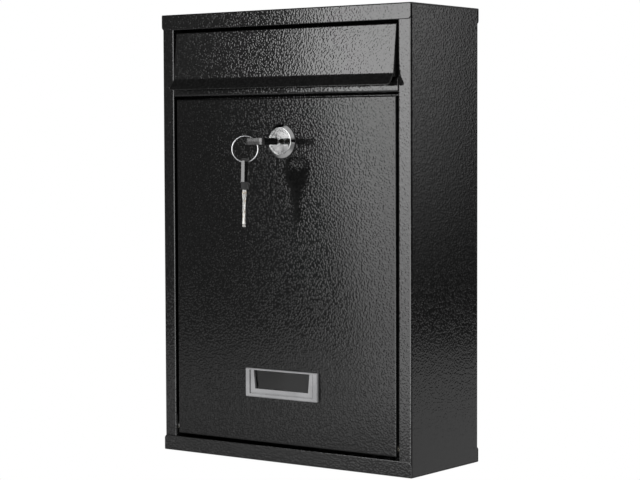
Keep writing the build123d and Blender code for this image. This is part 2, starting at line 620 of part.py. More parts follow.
# The spare key hangs from the lowest point of the ring
lean = radians(SPARE_LEAN)
spare_up = across * sin(lean) + Vector(0, 0, cos(lean))
spare_side = across * cos(lean) - Vector(0, 0, sin(lean))
wire_rise = RING_RADIUS - sqrt(RING_RADIUS**2 - half_bow**2)
spare_pivot = ring_centre - Vector(0, 0, RING_RADIUS)
spare_origin = spare_pivot + spare_up * (wire_radius + wire_rise + RING_PLAY - hole_end)
key_planes = {
    "key": Plane((0, lock_face_y, lock_z), (-1, 0, 0), (0, 0, 1)),
    "spare_key": Plane(spare_origin, spare_up.cross(spare_side), spare_side),
}
for key_name, key_plane in key_planes.items():
    # Blade: pointed tip, cuts along one edge, a groove down each face, stem and tang
    with BuildPart() as key_blade:
        with BuildSketch(key_plane):
            with BuildLine():
                Polyline(
                    (-BLADE_WIDTH / 2, KEY_SEAT_GAP),
                    (-BLADE_WIDTH / 2, BLADE_TIP - BLADE_LENGTH),
                    (BLADE_TIP - BLADE_WIDTH / 2, -BLADE_LENGTH),
                    (BLADE_WIDTH / 2 - BLADE_TIP, -BLADE_LENGTH),
                    (BLADE_WIDTH / 2, BLADE_TIP - BLADE_LENGTH),
                    (BLADE_WIDTH / 2, KEY_SEAT_GAP),
                    close=True,
                )
            make_face()
            for cut, depth in enumerate(BITTING_DEPTHS):
                cut_y = -BITTING_START - cut * BITTING_PITCH
                with BuildLine():
                    Polyline(
                        (BLADE_WIDTH / 2, cut_y + BITTING_FLAT + depth),
                        (BLADE_WIDTH / 2 - depth, cut_y + BITTING_FLAT),
                        (BLADE_WIDTH / 2 - depth, cut_y - BITTING_FLAT),
                        (BLADE_WIDTH / 2, cut_y - BITTING_FLAT - depth),
                        close=True,
                    )
                make_face(mode=Mode.SUBTRACT)
        extrude(amount=BLADE_THICKNESS / 2, both=True)
        for face_side in (-1, 1):
            with BuildSketch(key_plane.offset(face_side * (BLADE_THICKNESS - GROOVE_DEPTH) / 2)):
                with Locations((-GROOVE_WIDTH, -BLADE_LENGTH / 2)):
                    Rectangle(GROOVE_WIDTH, BLADE_LENGTH)
            extrude(amount=GROOVE_DEPTH / 2, both=True, mode=Mode.SUBTRACT)
        with BuildSketch(key_plane):
            with Locations((0, KEY_SEAT_GAP + STEM_LENGTH / 2)):
                Rectangle(STEM_WIDTH, STEM_LENGTH)
            with Locations((0, bow_start + TANG_LENGTH / 2)):
                Rectangle(TANG_WIDTH, TANG_LENGTH)
        extrude(amount=STEM_THICKNESS / 2, both=True)
    key_blade.part.label = f"{key_name}_blade"
    export_step(key_blade.part, f"parts/{key_name}_blade.step")

    # Head: drafted both ways from its middle line, with a sunk panel and the ring's hole
    with BuildPart() as key_head:
        with BuildSketch(key_plane):
            with BuildLine():
                FilletPolyline(
                    (-BOW_WIDTH / 2, bow_end),
                    (BOW_WIDTH / 2, bow_end),
                    (BOW_WIDTH / 2, bow_start + BOW_NECK_LENGTH),
                    (BOW_NECK_WIDTH / 2, bow_start),
                    (-BOW_NECK_WIDTH / 2, bow_start),
                    (-BOW_WIDTH / 2, bow_start + BOW_NECK_LENGTH),
                    radius=[BOW_CORNER_RADIUS] * 2 + [0] * 4,
                    close=True,
                )
            make_face()
        extrude(amount=half_bow, taper=BOW_DRAFT)
        mirror(about=key_plane)
        for face_side in (-1, 1):
            with BuildSketch(key_plane.offset(face_side * (half_bow - PANEL_DEPTH / 2))):
                with Locations((0, (bow_start + hole_end - BOW_HOLE_LENGTH) / 2)):
                    Rectangle(PANEL_WIDTH, PANEL_LENGTH)
            extrude(amount=PANEL_DEPTH / 2, both=True, mode=Mode.SUBTRACT)
        with BuildSketch(key_plane):
            with Locations((0, hole_end - BOW_HOLE_LENGTH / 2)):
                RectangleRounded(hole_width, BOW_HOLE_LENGTH, BOW_HOLE_CORNER)
        extrude(amount=half_bow, both=True, mode=Mode.SUBTRACT)
        with BuildSketch(key_plane):
            with Locations((0, bow_start + (TANG_LENGTH + FIT_GAP) / 2)):
                Rectangle(TANG_WIDTH + 2 * FIT_GAP, TANG_LENGTH + FIT_GAP)
        extrude(amount=STEM_THICKNESS / 2 + FIT_GAP, both=True, mode=Mode.SUBTRACT)
    key_head.part.label = f"{key_name}_head"
    export_step(key_head.part, f"parts/{key_name}_head.step")

# Key ring: drawn wire bent into a loop, its seam at the bottom inside the spare key's head
with BuildPart() as key_ring:
    with BuildSketch(Plane(ring_centre, (0, 0, -1), across)):
        with Locations((RING_RADIUS, 0)):
            RegularPolygon(wire_radius, RING_WIRE_SIDES)
    revolve(axis=Axis(ring_centre, facing), revolution_arc=360 - RING_SEAM)
key_ring.part.label = "key_ring"
export_step(key_ring.part, "parts/key_ring.step")

# Name plate holder: lip, skirt through the door, U-shaped band behind a groove, pocket, clips
with BuildPart() as name_frame:
    with BuildSketch(Plane.XZ.offset(-door_y)):
        with Locations((0, name_z)):
            RectangleRounded(NAME_WIDTH, NAME_HEIGHT, NAME_CORNER_RADIUS)
    extrude(amount=NAME_PROUD)
    chamfer(name_frame.faces().sort_by(Axis.Y)[0].edges(), length=NAME_CHAMFER)
    with BuildSketch(Plane.XZ.offset(-skirt_back)):
        with Locations((0, pocket_z)):
            Rectangle(skirt_width, skirt_height)
    extrude(amount=skirt_back - door_y)
    with BuildSketch(Plane.XZ.offset(-door_inner - NAME_CLIP_GAP)):
        for clip_side in (-1, 1):
            with Locations((clip_side * (skirt_width + NAME_CLIP_REACH) / 2, pocket_z)):
                Rectangle(NAME_CLIP_REACH, NAME_CLIP_LENGTH)
    extrude(amount=door_inner + NAME_CLIP_GAP - skirt_back)
    with BuildSketch(Plane.XZ.offset(-band_y)):
        with Locations((0, recess_z)):
            Rectangle(recess_width, recess_height)
    extrude(amount=NAME_STEP, mode=Mode.SUBTRACT)
    with BuildSketch(Plane.XZ.offset(-pocket_y)):
        with Locations((0, window_z)):
            Trapezoid(window_foot, window_height, 90 + NAME_BAND_SLANT)
    extrude(amount=NAME_BAND_THICKNESS, mode=Mode.SUBTRACT)
    with BuildSketch(Plane.XZ.offset(-band_y - NAME_GROOVE_DEPTH)):
        with Locations((0, recess_z)):
            Rectangle(recess_width, recess_height)
        with Locations((0, recess_z + NAME_GROOVE_WIDTH / 2)):
            Rectangle(
                recess_width - 2 * NAME_GROOVE_WIDTH,
                recess_height - NAME_GROOVE_WIDTH,
                mode=Mode.SUBTRACT,
            )
    extrude(amount=NAME_GROOVE_DEPTH, mode=Mode.SUBTRACT)
    with BuildSketch(Plane.XZ.offset(-pocket_y - pocket_depth)):
        with Locations((0, pocket_z)):
            Rectangle(pocket_width, pocket_height)
    extrude(amount=pocket_depth, mode=Mode.SUBTRACT)
name_frame.part.label = "name_frame"
export_step(name_frame.part, "parts/name_frame.step")

# Window and card: two sheets one behind the other in the holder's pocket
sheet_width = pocket_width - 2 * NAME_CARD_PLAY
sheet_height = pocket_height - 2 * NAME_CARD_PLAY
window_back = pocket_y + NAME_CARD_PLAY + WINDOW_THICKNESS
with BuildPart() as name_window:
    with BuildSketch(Plane.XZ.offset(-window_back)):
        with Locations((0, pocket_z)):
            Rectangle(sheet_width, sheet_height)
    extrude(amount=WINDOW_THICKNESS)
name_window.part.label = "name_window"
export_step(name_window.part, "parts/name_window.step")

with BuildPart() as name_card:
    with BuildSketch(Plane.XZ.offset(-window_back - CARD_THICKNESS)):
        with Locations((0, pocket_z)):
            Rectangle(sheet_width, sheet_height)
    extrude(amount=CARD_THICKNESS)
name_card.part.label = "name_card"
export_step(name_card.part, "parts/name_card.step")

print("flap rod", round(rod_y, 3), round(rod_z, 3), "door pins", round(pin_y, 3), round(pin_z, 3))
print("lock", round(lock_face_y, 3), round(lock_z, 3), "cam length", round(cam_length, 2))
print("ring pivot", wall_point, "ring centre", ring_centre, "spare key pivot", spare_pivot)
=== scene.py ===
# %% [markdown]
# A wall mounted mailbox in folded steel, with a mail flap, a drop-down door, a cam lock and
# two keys on a ring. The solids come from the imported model, in metres, and stay where they
# are. This lesson dresses them: it turns the few small metal pieces that need a finer
# surface, mixes a finish for every piece, and sets up the camera and the studio.

# %% load the fixed frame
from math import cos, pi, radians, sin

import bpy
import numpy as np
from mathutils import Matrix, Vector


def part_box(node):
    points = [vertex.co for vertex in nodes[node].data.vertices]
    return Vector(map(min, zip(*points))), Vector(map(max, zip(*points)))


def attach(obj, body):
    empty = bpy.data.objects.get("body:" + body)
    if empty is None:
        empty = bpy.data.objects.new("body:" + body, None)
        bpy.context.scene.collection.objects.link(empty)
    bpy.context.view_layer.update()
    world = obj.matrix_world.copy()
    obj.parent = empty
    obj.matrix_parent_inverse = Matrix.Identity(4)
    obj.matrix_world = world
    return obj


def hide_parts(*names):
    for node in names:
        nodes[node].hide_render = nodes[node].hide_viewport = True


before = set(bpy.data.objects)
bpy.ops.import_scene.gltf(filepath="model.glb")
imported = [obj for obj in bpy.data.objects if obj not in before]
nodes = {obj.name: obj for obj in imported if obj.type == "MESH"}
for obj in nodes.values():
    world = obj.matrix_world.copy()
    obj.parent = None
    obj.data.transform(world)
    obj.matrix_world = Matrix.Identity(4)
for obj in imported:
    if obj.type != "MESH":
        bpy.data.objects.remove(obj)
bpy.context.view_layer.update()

MM = 0.001


def add_object(name, data):
    """A new object with the given data, in the scene."""
    thing = bpy.data.objects.new(name, data)
    bpy.context.scene.collection.objects.link(thing)
    return thing


# %% [markdown]
# The camera stands to the right of the box, a little above its middle, with a long lens,
# so the front and the right side show together and upright edges stay nearly parallel.
# A camera can be aimed with a constraint or by an angle. Here three angles are enough:
# how far round it stands, how high it looks from, and a small roll of the picture.

# %% camera
CAMERA_PLACE = (0.83201, -1.16331, 0.06708)
CAMERA_ROUND = radians(36.505)
CAMERA_HEIGHT = radians(2.902)
CAMERA_ROLL = radians(-0.195)
LENS_LENGTH = 108.65
SENSOR_WIDTH = 36.0

back = Vector((
    sin(CAMERA_ROUND) * cos(CAMERA_HEIGHT),
    -cos(CAMERA_ROUND) * cos(CAMERA_HEIGHT),
    sin(CAMERA_HEIGHT),
))
right = Vector((0, 0, 1)).cross(back).normalized()
upward = back.cross(right)
aim = Matrix((right, upward, back)).transposed() @ Matrix.Rotation(CAMERA_ROLL, 3, "Z")
lens = bpy.data.cameras.new("studio_camera")
lens.lens = LENS_LENGTH
lens.sensor_width = SENSOR_WIDTH
lens.sensor_fit = "HORIZONTAL"
camera = add_object("studio_camera", lens)
camera.matrix_world = Matrix.Translation(CAMERA_PLACE) @ aim.to_4x4()
bpy.context.scene.camera = camera
print("camera at", CAMERA_PLACE)

# %% [markdown]
# Small turned and bent metal pieces are all one kind of surface: a grid of points whose
# rows run along the piece and whose columns run round it. One helper makes a mesh of such
# a grid. It closes the ends, and it uses the signed volume to see which way the faces
# point, because a mirrored profile would turn them inwards.

# %% a skin over a grid of points
def in_mm(corners):
    """The two corners of a box, in millimetres."""
    return [np.array(corner) / MM for corner in corners]


def skin(name, grid, loop=False, sharp=32):
    """Mesh from a grid of points. Columns always join round; rows join too for a loop, and
    else each end row is closed by one flat face. The sum of a . (b x c) / 6 over the
    triangles is the volume, and where it is negative every face is turned round."""
    rows, columns = grid.shape[:2]
    index = np.arange(rows * columns).reshape(rows, columns)
    beside = np.roll(index, -1, axis=1)
    quads = np.stack(
        [index, beside, np.roll(beside, -1, axis=0), np.roll(index, -1, axis=0)], axis=-1
    )
    quads = (quads if loop else quads[:-1]).reshape(-1, 4)
    points = grid.reshape(-1, 3)
    a, b, c, d = (points[quads[:, k]] for k in range(4))
    volume = (a * np.cross(b, c)).sum() + (a * np.cross(c, d)).sum()
    faces = quads.tolist()
    if not loop:
        faces += [index[0, ::-1].tolist(), index[-1].tolist()]
    if volume < 0:
        faces = [face[::-1] for face in faces]
    mesh = bpy.data.meshes.new(name)
    mesh.from_pydata(points.tolist(), [], faces)
    mesh.shade_smooth()
    mesh.set_sharp_from_angle(angle=radians(sharp))
    print(name, len(points), "points", len(faces), "faces")
    return add_object(name, mesh)


def turned(radius, along, sides, centre, axis):
    """Lathe grid: each row is a ring of the given radius at its place along the axis. The
    radius is one number a row, or one a point where the ring isn't round."""
    angle = np.linspace(0, 2 * pi, sides, endpoint=False)
    radius = np.broadcast_to(np.asarray(radius).T, (sides, len(along))).T
    along = np.repeat(np.asarray(along)[:, None], sides, axis=1)
    first, second = radius * np.cos(angle), radius * np.sin(angle)
    if axis == "X":
        ring = np.stack([along, centre[1] + first, centre[2] + second], axis=-1)
    else:
        ring = np.stack([centre[0] + first, along, centre[2] + second], axis=-1)
    return ring * MM


FLAT_HOLD = 0.04


def eased(corners, size, steps=5):
    """Rounds the corners of a closed outline. Each corner becomes the quadratic curve from
    a point that far before it to a point that far after it, with the corner as its pull.
    One more point on each side, a little further off, keeps the faces between them flat."""
    corners = np.asarray(corners, float)
    size = np.asarray(size, float)[:, None]
    before = np.roll(corners, 1, axis=0) - corners
    after = np.roll(corners, -1, axis=0) - corners
    before /= np.linalg.norm(before, axis=1, keepdims=True)
    after /= np.linalg.norm(after, axis=1, keepdims=True)
    start, end = corners + size * before, corners + size * after
    t = np.linspace(0, 1, steps)[None, :, None]
    curve = (1 - t) ** 2 * start[:, None] + 2 * t * (1 - t) * corners[:, None] + t**2 * end[:, None]
    first, last = start + FLAT_HOLD * before, end + FLAT_HOLD * after
    return np.concatenate([first[:, None], curve, last[:, None]], axis=1).reshape(-1, 2)


# %% [markdown]
# The lock's shell is a die-cast and plated tube: a conical bezel outside the door, and
# behind it a barrel with a thread and two flats that stop it turning in its hole. A
# screw modifier could make the thread, but a lathe surface whose radius also depends on
# the angle gives bezel, thread and flats in one closed skin.

# %% lock shell
low, high = in_mm(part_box("lock_housing"))
lock_axis = (low + high) / 2
door_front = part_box("door_panel")[0].y / MM
BEZEL_RADIUS = (high[0] - low[0]) / 2
BEZEL_FACE_RADIUS = 9.8
BEZEL_RIM = 0.6
BARREL_RADIUS = 9.0
BARREL_FLAT = 8.0
BORE_RADIUS = 5.58
RECESS_RADIUS = 8.58
RECESS_DEPTH = 1.88
THREAD_PITCH = 1.0
THREAD_DEPTH = 0.5
THREAD_START = 0.6
ROWS_IN_PITCH = 12
SHEET = 0.8
SHELL_SIDES = 128
BEHIND_BEZEL = 0.02
OUTSIDE_BORE = 0.5
LEAST_COSINE = 0.01

shell_corners = np.array([
    # radius, place along the axis, easing of the corner
    (BARREL_RADIUS, door_front, 0.05),
    (BEZEL_RADIUS, door_front, 0.1),
    (BEZEL_RADIUS, door_front - BEZEL_RIM, 0.22),
    (BEZEL_FACE_RADIUS, low[1], 0.14),
    (RECESS_RADIUS, low[1], 0.08),
    (RECESS_RADIUS, low[1] + RECESS_DEPTH, 0.05),
    (BORE_RADIUS, low[1] + RECESS_DEPTH, 0.05),
    (BORE_RADIUS, high[1], 0.1),
    (BARREL_RADIUS, high[1], 0.45),
])
plain_side = eased(shell_corners[:, :2], shell_corners[:, 2])
thread_y = np.arange(high[1] - THREAD_START, door_front + SHEET, -THREAD_PITCH / ROWS_IN_PITCH)
thread_side = np.stack([np.full_like(thread_y, BARREL_RADIUS), thread_y], axis=1)
outline = np.concatenate([plain_side, thread_side])
turn = np.linspace(0, 2 * pi, SHELL_SIDES, endpoint=False)
on_barrel = (outline[:, 1] > door_front + BEHIND_BEZEL) & (outline[:, 0] > BORE_RADIUS + OUTSIDE_BORE)
on_thread = np.arange(len(outline)) >= len(plain_side)
groove = 0.5 - 0.5 * np.cos(2 * pi * outline[:, 1, None] / THREAD_PITCH - turn)
shell_radius = outline[:, 0, None] - THREAD_DEPTH * groove * on_thread[:, None]
flats = BARREL_FLAT / np.maximum(np.abs(np.cos(turn)), LEAST_COSINE)
shell_radius = np.where(on_barrel[:, None], np.minimum(shell_radius, flats), shell_radius)
lock_shell = skin(
    "lock_shell", turned(shell_radius, outline[:, 1], SHELL_SIDES, lock_axis, "Y"), loop=True
)
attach(lock_shell, "door")
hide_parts("lock_housing")

# %% [markdown]
# The nut that clamps the barrel is cut from hexagon bar, and its corners are turned off at
# an angle on the outer side. That is exactly a hexagon limited by a cone, so its radius is
# the smaller of the two at every point.

# %% barrel nut
low, high = in_mm(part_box("lock_nut"))
NUT_SIDES = 144
NUT_HALF = (high[2] - low[2]) / 2
NUT_HOLE = 9.05
NUT_BEVEL = 1.4
NUT_BEVEL_RADIUS = 11.4
NUT_BEVEL_ANGLE = radians(60)
NUT_BEVEL_ROWS = 7
NUT_SHARP = 25
HOLE_BEVEL = 0.5

turn = np.linspace(0, 2 * pi, NUT_SIDES, endpoint=False)
hexagon = NUT_HALF / np.cos(np.mod(turn, pi / 3) - pi / 6)
depth = np.linspace(NUT_BEVEL, 0, NUT_BEVEL_ROWS)
nut_y = np.concatenate([
    [low[1], low[1]], high[1] - depth, [high[1], high[1] - HOLE_BEVEL],
])
cone = NUT_BEVEL_RADIUS + depth[:, None] * np.tan(NUT_BEVEL_ANGLE)
nut_radius = np.concatenate([
    np.full((1, NUT_SIDES), NUT_HOLE),
    hexagon[None, :],
    np.minimum(hexagon, cone),
    np.full((1, NUT_SIDES), NUT_HOLE + HOLE_BEVEL),
    np.full((1, NUT_SIDES), NUT_HOLE),
])
nut_grid = turned(nut_radius, nut_y, NUT_SIDES, lock_axis, "Y")
barrel_nut = skin("barrel_nut", nut_grid, loop=True, sharp=NUT_SHARP)
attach(barrel_nut, "door")
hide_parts("lock_nut")

# %% [markdown]
# The door turns on two rivets. Each has a domed head inside the door's pan, a neck that
# runs in the pan's side, a shoulder that keeps the door off the bracket, and a tail that
# was spread by a press. All of it is one profile swung round the pin's own line.

# %% door rivets
RIVET_SIDES = 64
HEAD_RADIUS, HEAD_HEIGHT = 3.5, 1.4
NECK_RADIUS, SHOULDER_RADIUS, TAIL_RADIUS = 2.0, 3.0, 3.0
SHOULDER_FROM, SHOULDER_TO = 2.6, 4.4
TAIL_FROM, TAIL_TO = 5.6, 6.6
STRAIGHT_RIM = 0.2
DOME_TOP = 0.02
HEAD_ROWS, TAIL_ROWS = 12, 8

swell = np.linspace(DOME_TOP, 1, HEAD_ROWS)
spread = np.linspace(1, DOME_TOP, TAIL_ROWS)
rivet_radius = np.concatenate([
    HEAD_RADIUS * np.sqrt(1 - (1 - swell) ** 2), [HEAD_RADIUS, NECK_RADIUS],
    [NECK_RADIUS, SHOULDER_RADIUS, SHOULDER_RADIUS, NECK_RADIUS],
    [NECK_RADIUS, TAIL_RADIUS], TAIL_RADIUS * np.sqrt(1 - (1 - spread) ** 2),
])
rivet_x = np.concatenate([
    (HEAD_HEIGHT - STRAIGHT_RIM) * swell, [HEAD_HEIGHT, HEAD_HEIGHT],
    [SHOULDER_FROM, SHOULDER_FROM, SHOULDER_TO, SHOULDER_TO],
    [TAIL_FROM, TAIL_FROM], TAIL_TO - (TAIL_TO - TAIL_FROM - STRAIGHT_RIM) * spread,
])
for side_name, side in (("left", -1), ("right", 1)):
    low, high = in_mm(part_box("door_pin_" + side_name))
    start = min(abs(low[0]), abs(high[0]))
    rivet = skin(
        "rivet_" + side_name,
        turned(rivet_radius, side * (start + rivet_x), RIVET_SIDES, (low + high) / 2, "X"),
    )
    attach(rivet, "case")
    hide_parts("door_pin_" + side_name)

# %% [markdown]
# The key ring is one turn of drawn wire. Its two ends nearly meet at the lowest point,
# inside the spare key's head. A circle carried along a larger circle gives the wire, and
# the carried circle shrinks like a half ball at each end, so the ends are rounded off.

# %% key ring
RING_RADIUS = 9.0
WIRE_RADIUS = 0.5
RING_TURN = radians(36.5)
RING_SEAM = radians(1.6)
WIRE_SIDES, WIRE_ROWS, WIRE_SHARP = 20, 180, 60
END_TIP, END_ROWS = 0.05, 6

low, high = in_mm(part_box("key_ring"))
across = np.array([cos(RING_TURN), sin(RING_TURN), 0])
facing = np.array([sin(RING_TURN), -cos(RING_TURN), 0])
wire_turn = 2 * pi - RING_SEAM
tip = np.linspace(END_TIP, 1, END_ROWS)
tip_turn = WIRE_RADIUS / RING_RADIUS
from_end = np.concatenate([
    tip_turn * tip,
    np.linspace(tip_turn, wire_turn - tip_turn, WIRE_ROWS)[1:-1],
    wire_turn - tip_turn * tip[::-1],
])
end_gap = np.minimum(from_end, wire_turn - from_end) / tip_turn
wire = WIRE_RADIUS * np.sqrt(1 - (1 - np.minimum(end_gap, 1)) ** 2)
round_ring = from_end + RING_SEAM / 2 - pi / 2
outward = np.cos(round_ring)[:, None] * across + np.sin(round_ring)[:, None] * [0, 0, 1]
round_wire = np.linspace(0, 2 * pi, WIRE_SIDES, endpoint=False)
reach = RING_RADIUS + wire[:, None] * np.cos(round_wire)
ring_grid = (
    (low + high) / 2
    + reach[:, :, None] * outward[:, None, :]
    + (wire[:, None] * np.sin(round_wire))[:, :, None] * facing
)
ring_wire = skin("ring_wire", ring_grid * MM, sharp=WIRE_SHARP)
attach(ring_wire, "key_ring")
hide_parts("key_ring")

# %% [markdown]
# Every finish is a node material on Object coordinates, so its grain has a real size in
# metres and stays on the piece when the piece moves. A few helpers keep the wiring short:
# they start a material, add a node, and fill or link its sockets.

# %% helpers for nodes
def new_finish(name):
    """A node material with its Principled shader and the piece's own coordinates."""
    finish = bpy.data.materials.new(name)
    finish.use_nodes = True
    tree = finish.node_tree
    shader = tree.nodes["Principled BSDF"]
    place = tree.nodes.new("ShaderNodeTexCoord").outputs["Object"]
    return finish, tree, shader, place


def fill(tree, node, sockets):
    """A socket given an output is linked to it; any other value is set."""
    for name, value in sockets.items():
        if isinstance(value, bpy.types.NodeSocket):
            tree.links.new(value, node.inputs[name])
        else:
            node.inputs[name].default_value = value


def wire_up(tree, kind, sockets, **settings):
    """Adds one node with its settings, and fills its sockets."""
    node = tree.nodes.new(kind)
    for name, value in settings.items():
        setattr(node, name, value)
    fill(tree, node, sockets)
    return node


def ramp(tree, value, low, high, low_out, high_out, shape="SMOOTHSTEP"):
    """Maps a value from one range to another, smoothly or straight, without overshoot."""
    sockets = {
        "Value": value, "From Min": low, "From Max": high, "To Min": low_out, "To Max": high_out,
    }
    return wire_up(tree, "ShaderNodeMapRange", sockets, interpolation_type=shape).outputs[0]


def calculate(tree, operation, *values):
    """One step of arithmetic."""
    return wire_up(tree, "ShaderNodeMath", dict(enumerate(values)), operation=operation).outputs[0]


# %% [markdown]
# The look of a real piece is mostly three things: a colour that is never quite even, a gloss
# that follows grain and handling, and a relief too small to model. Each can be painted as a
# picture, but noises in metres fit any piece and need no file. A bevel shader under the
# relief rounds the light on sharp edges without more faces.

# %% helpers for finishes
NOISE_SPAN = (0.3, 0.7)


def noise(tree, place, scale, detail):
    """A cloudy noise with that many waves in a metre. Most of it lies in NOISE_SPAN."""
    sockets = {"Vector": place, "Scale": scale, "Detail": detail}
    return wire_up(tree, "ShaderNodeTexNoise", sockets).outputs["Fac"]


def grey(value):
    """An even colour."""
    return (value, value, value, 1)


def tint(tree, amount, first, second):
    """The first colour where the amount is nought, the second where it is one."""
    sockets = {"Factor": amount, "A": first, "B": second}
    return wire_up(tree, "ShaderNodeMix", sockets, data_type="RGBA").outputs[2]


def relief(tree, height, depth, edge_radius=0.0, samples=4):
    """Normals for a height of up to that depth, on edges rounded by the given radius."""
    sockets = {"Height": height, "Distance": depth}
    if edge_radius:
        edge = wire_up(tree, "ShaderNodeBevel", {"Radius": edge_radius}, samples=samples)
        sockets["Normal"] = edge.outputs[0]
    return wire_up(tree, "ShaderNodeBump", sockets).outputs[0]


def dress(finish, *names):
    """Gives a finish to CAD nodes by name, or to new pieces."""
    for name in names:
        piece = nodes.get(name) or bpy.data.objects[name]
        piece.data.materials.clear()
        piece.data.materials.append(finish)
    print(finish.name, "on", ", ".join(names))


# %% [markdown]
# The case is coated with a hammered powder coat: black, glossy, and drawn up into shallow
# pebbles less than two millimetres across while it melts. A noise alone looks like orange
# peel. Smooth Voronoi cells give the pebbles, a slow noise bends them so that no grid shows,
# and a finer noise roughens their tops. The pebbles are a few hundredths of a millimetre
# high, so the reflections stay sharp and break up into grains at their edges. Their colour
# is painted a little lighter on the crowns and darker in the valleys, a painted shade
# between the pebbles. The coat also rounds every sheet edge. The door hangs alone in the
# oven, and its coat comes out a little less glossy.

# %% hammered black paint
PEBBLE = 1.4 * MM
PEBBLE_HEIGHT = 0.037 * MM
PEBBLE_END = 0.6
DRIFT_SCALE, PEEL_SCALE = 0.4 / PEBBLE, 1.2 / PEBBLE
PEEL_SHARE = 0.2
# Painted shade: the coat's black is set darker in the pebbles' valleys and lighter on their crowns.
VALLEY_PAINTED_SHADE, CROWN_PAINTED_LIGHT = 0.8, 1.7
COAT_ROUGHNESS = (0.05, 0.08)
COAT_EDGE, DOOR_EDGE = 0.9 * MM, 0.3 * MM
EDGE_SAMPLES = 8


def hammered_paint(name, black, gloss, edge_radius):
    """Black coat with pebbles: the crown of each smooth cell plus a fifth of a fine noise is
    the height, and the colour follows the crown, with painted shade in the valleys."""
    finish, tree, shader, place = new_finish(name)
    drift = wire_up(tree, "ShaderNodeTexNoise", {"Vector": place, "Scale": DRIFT_SCALE, "Detail": 1.0})
    bent = wire_up(
        tree, "ShaderNodeVectorMath",
        {0: drift.outputs["Color"], 1: (PEBBLE, PEBBLE, PEBBLE), 2: place}, operation="MULTIPLY_ADD",
    )
    pebbles = wire_up(
        tree, "ShaderNodeTexVoronoi",
        {"Vector": bent.outputs[0], "Scale": 1 / PEBBLE, "Smoothness": 1.0}, feature="SMOOTH_F1",
    )
    crown = ramp(tree, pebbles.outputs["Distance"], 0.0, PEBBLE_END, 1.0, 0.0)
    peel = noise(tree, place, scale=PEEL_SCALE, detail=1.0)
    height = calculate(tree, "MULTIPLY_ADD", peel, PEEL_SHARE, crown)
    fill(tree, shader, {
        # The base colour follows the crowns: painted shade in the valleys between the pebbles.
        "Base Color": tint(tree, crown, grey(VALLEY_PAINTED_SHADE * black), grey(CROWN_PAINTED_LIGHT * black)),
        "Roughness": ramp(tree, peel, *NOISE_SPAN, *COAT_ROUGHNESS),
        "Specular IOR Level": gloss,
        "Normal": relief(tree, height, PEBBLE_HEIGHT, edge_radius, EDGE_SAMPLES),
    })
    return finish


dress(
    hammered_paint("hammered_black_paint", black=0.0085, gloss=0.56, edge_radius=COAT_EDGE),
    "case_wrap", "top_cap", "bottom_tray", "slot_rail", "flap", "flap_hinge_rod",
    "flap_bracket_left", "flap_bracket_right", "door_bracket_left", "door_bracket_right",
)
dress(
    hammered_paint("hammered_black_door_paint", black=0.0065, gloss=0.40, edge_radius=DOOR_EDGE),
    "door_panel",
)

# %% [markdown]
# The lock's front is polished and chrome plated. Chrome shows mostly what stands round it,
# so its own detail is small: faint circles from the turning tool and a few hazy patches.
# The circles are a sine of the distance from the lock's axis, which the mapping centres.
# The plug's plate is set a little darker and rougher than the bezel's.

# %% lock chrome
TURNING_MARK = 0.22 * MM
MARK_SHARE = 0.3
CHROME_RELIEF, CHROME_EDGE = 0.004 * MM, 0.06 * MM


def product(tree, first, *others):
    """The product of all the values."""
    for other in others:
        first = calculate(tree, "MULTIPLY", first, other)
    return first


def distance(tree, place, kept):
    """How far a place is from the origin, counting only the axes kept with a one."""
    flat = wire_up(tree, "ShaderNodeVectorMath", {0: place, 1: kept}, operation="MULTIPLY")
    length = wire_up(tree, "ShaderNodeVectorMath", {0: flat.outputs[0]}, operation="LENGTH")
    return length.outputs["Value"]


def turned_chrome(name, plate, bright, hazy):
    """Chrome plate: a sine of the distance from the lock's axis plus a noise is the height."""
    finish, tree, shader, place = new_finish(name)
    centred = wire_up(
        tree, "ShaderNodeMapping", {"Vector": place, "Location": (0, 0, -lock_axis[2] * MM)}
    )
    off_axis = distance(tree, centred.outputs[0], (1, 0, 1))
    circles = calculate(tree, "SINE", product(tree, off_axis, 2 * pi / TURNING_MARK))
    haze = noise(tree, place, scale=260.0, detail=4.0)
    height = calculate(tree, "MULTIPLY_ADD", circles, MARK_SHARE, haze)
    fill(tree, shader, {
        "Metallic": 1.0,
        "Base Color": grey(plate),
        "Roughness": ramp(tree, haze, *NOISE_SPAN, bright, hazy),
        "Normal": relief(tree, height, CHROME_RELIEF, CHROME_EDGE),
    })
    return finish


dress(turned_chrome("chrome_shell", plate=0.55, bright=0.08, hazy=0.12), "lock_shell")
dress(turned_chrome("chrome_plug", plate=0.49, bright=0.10, hazy=0.15), "lock_plug")

# %% [markdown]
# The pieces inside are zinc plated. Zinc is a cool grey with a faint spangle and a
# yellowish cast where the passivation is thicker. A noise mixes the two colours, and
# Voronoi cells give the spangle in the roughness.

# %% zinc plate
ZINC_COOL, ZINC_YELLOW = (0.56, 0.57, 0.58, 1), (0.58, 0.54, 0.44, 1)
STAIN_SPAN, SPANGLE_SPAN = (0.4, 0.7), (0.0, 0.8)
ZINC_ROUGHNESS = (0.45, 0.60)
ZINC_RELIEF = 0.02 * MM

zinc, tree, shader, place = new_finish("zinc_plate")
spangle = wire_up(tree, "ShaderNodeTexVoronoi", {"Vector": place, "Scale": 900.0})
stain = noise(tree, place, scale=220.0, detail=4.0)
fill(tree, shader, {
    "Metallic": 1.0,
    "Base Color": tint(tree, ramp(tree, stain, *STAIN_SPAN, 0.0, 1.0), ZINC_COOL, ZINC_YELLOW),
    "Roughness": ramp(tree, spangle.outputs["Distance"], *SPANGLE_SPAN, *ZINC_ROUGHNESS),
    "Normal": relief(tree, stain, ZINC_RELIEF),
})
dress(zinc, "rivet_left", "rivet_right", "barrel_nut", "lock_cam", "cam_washer", "cam_screw")
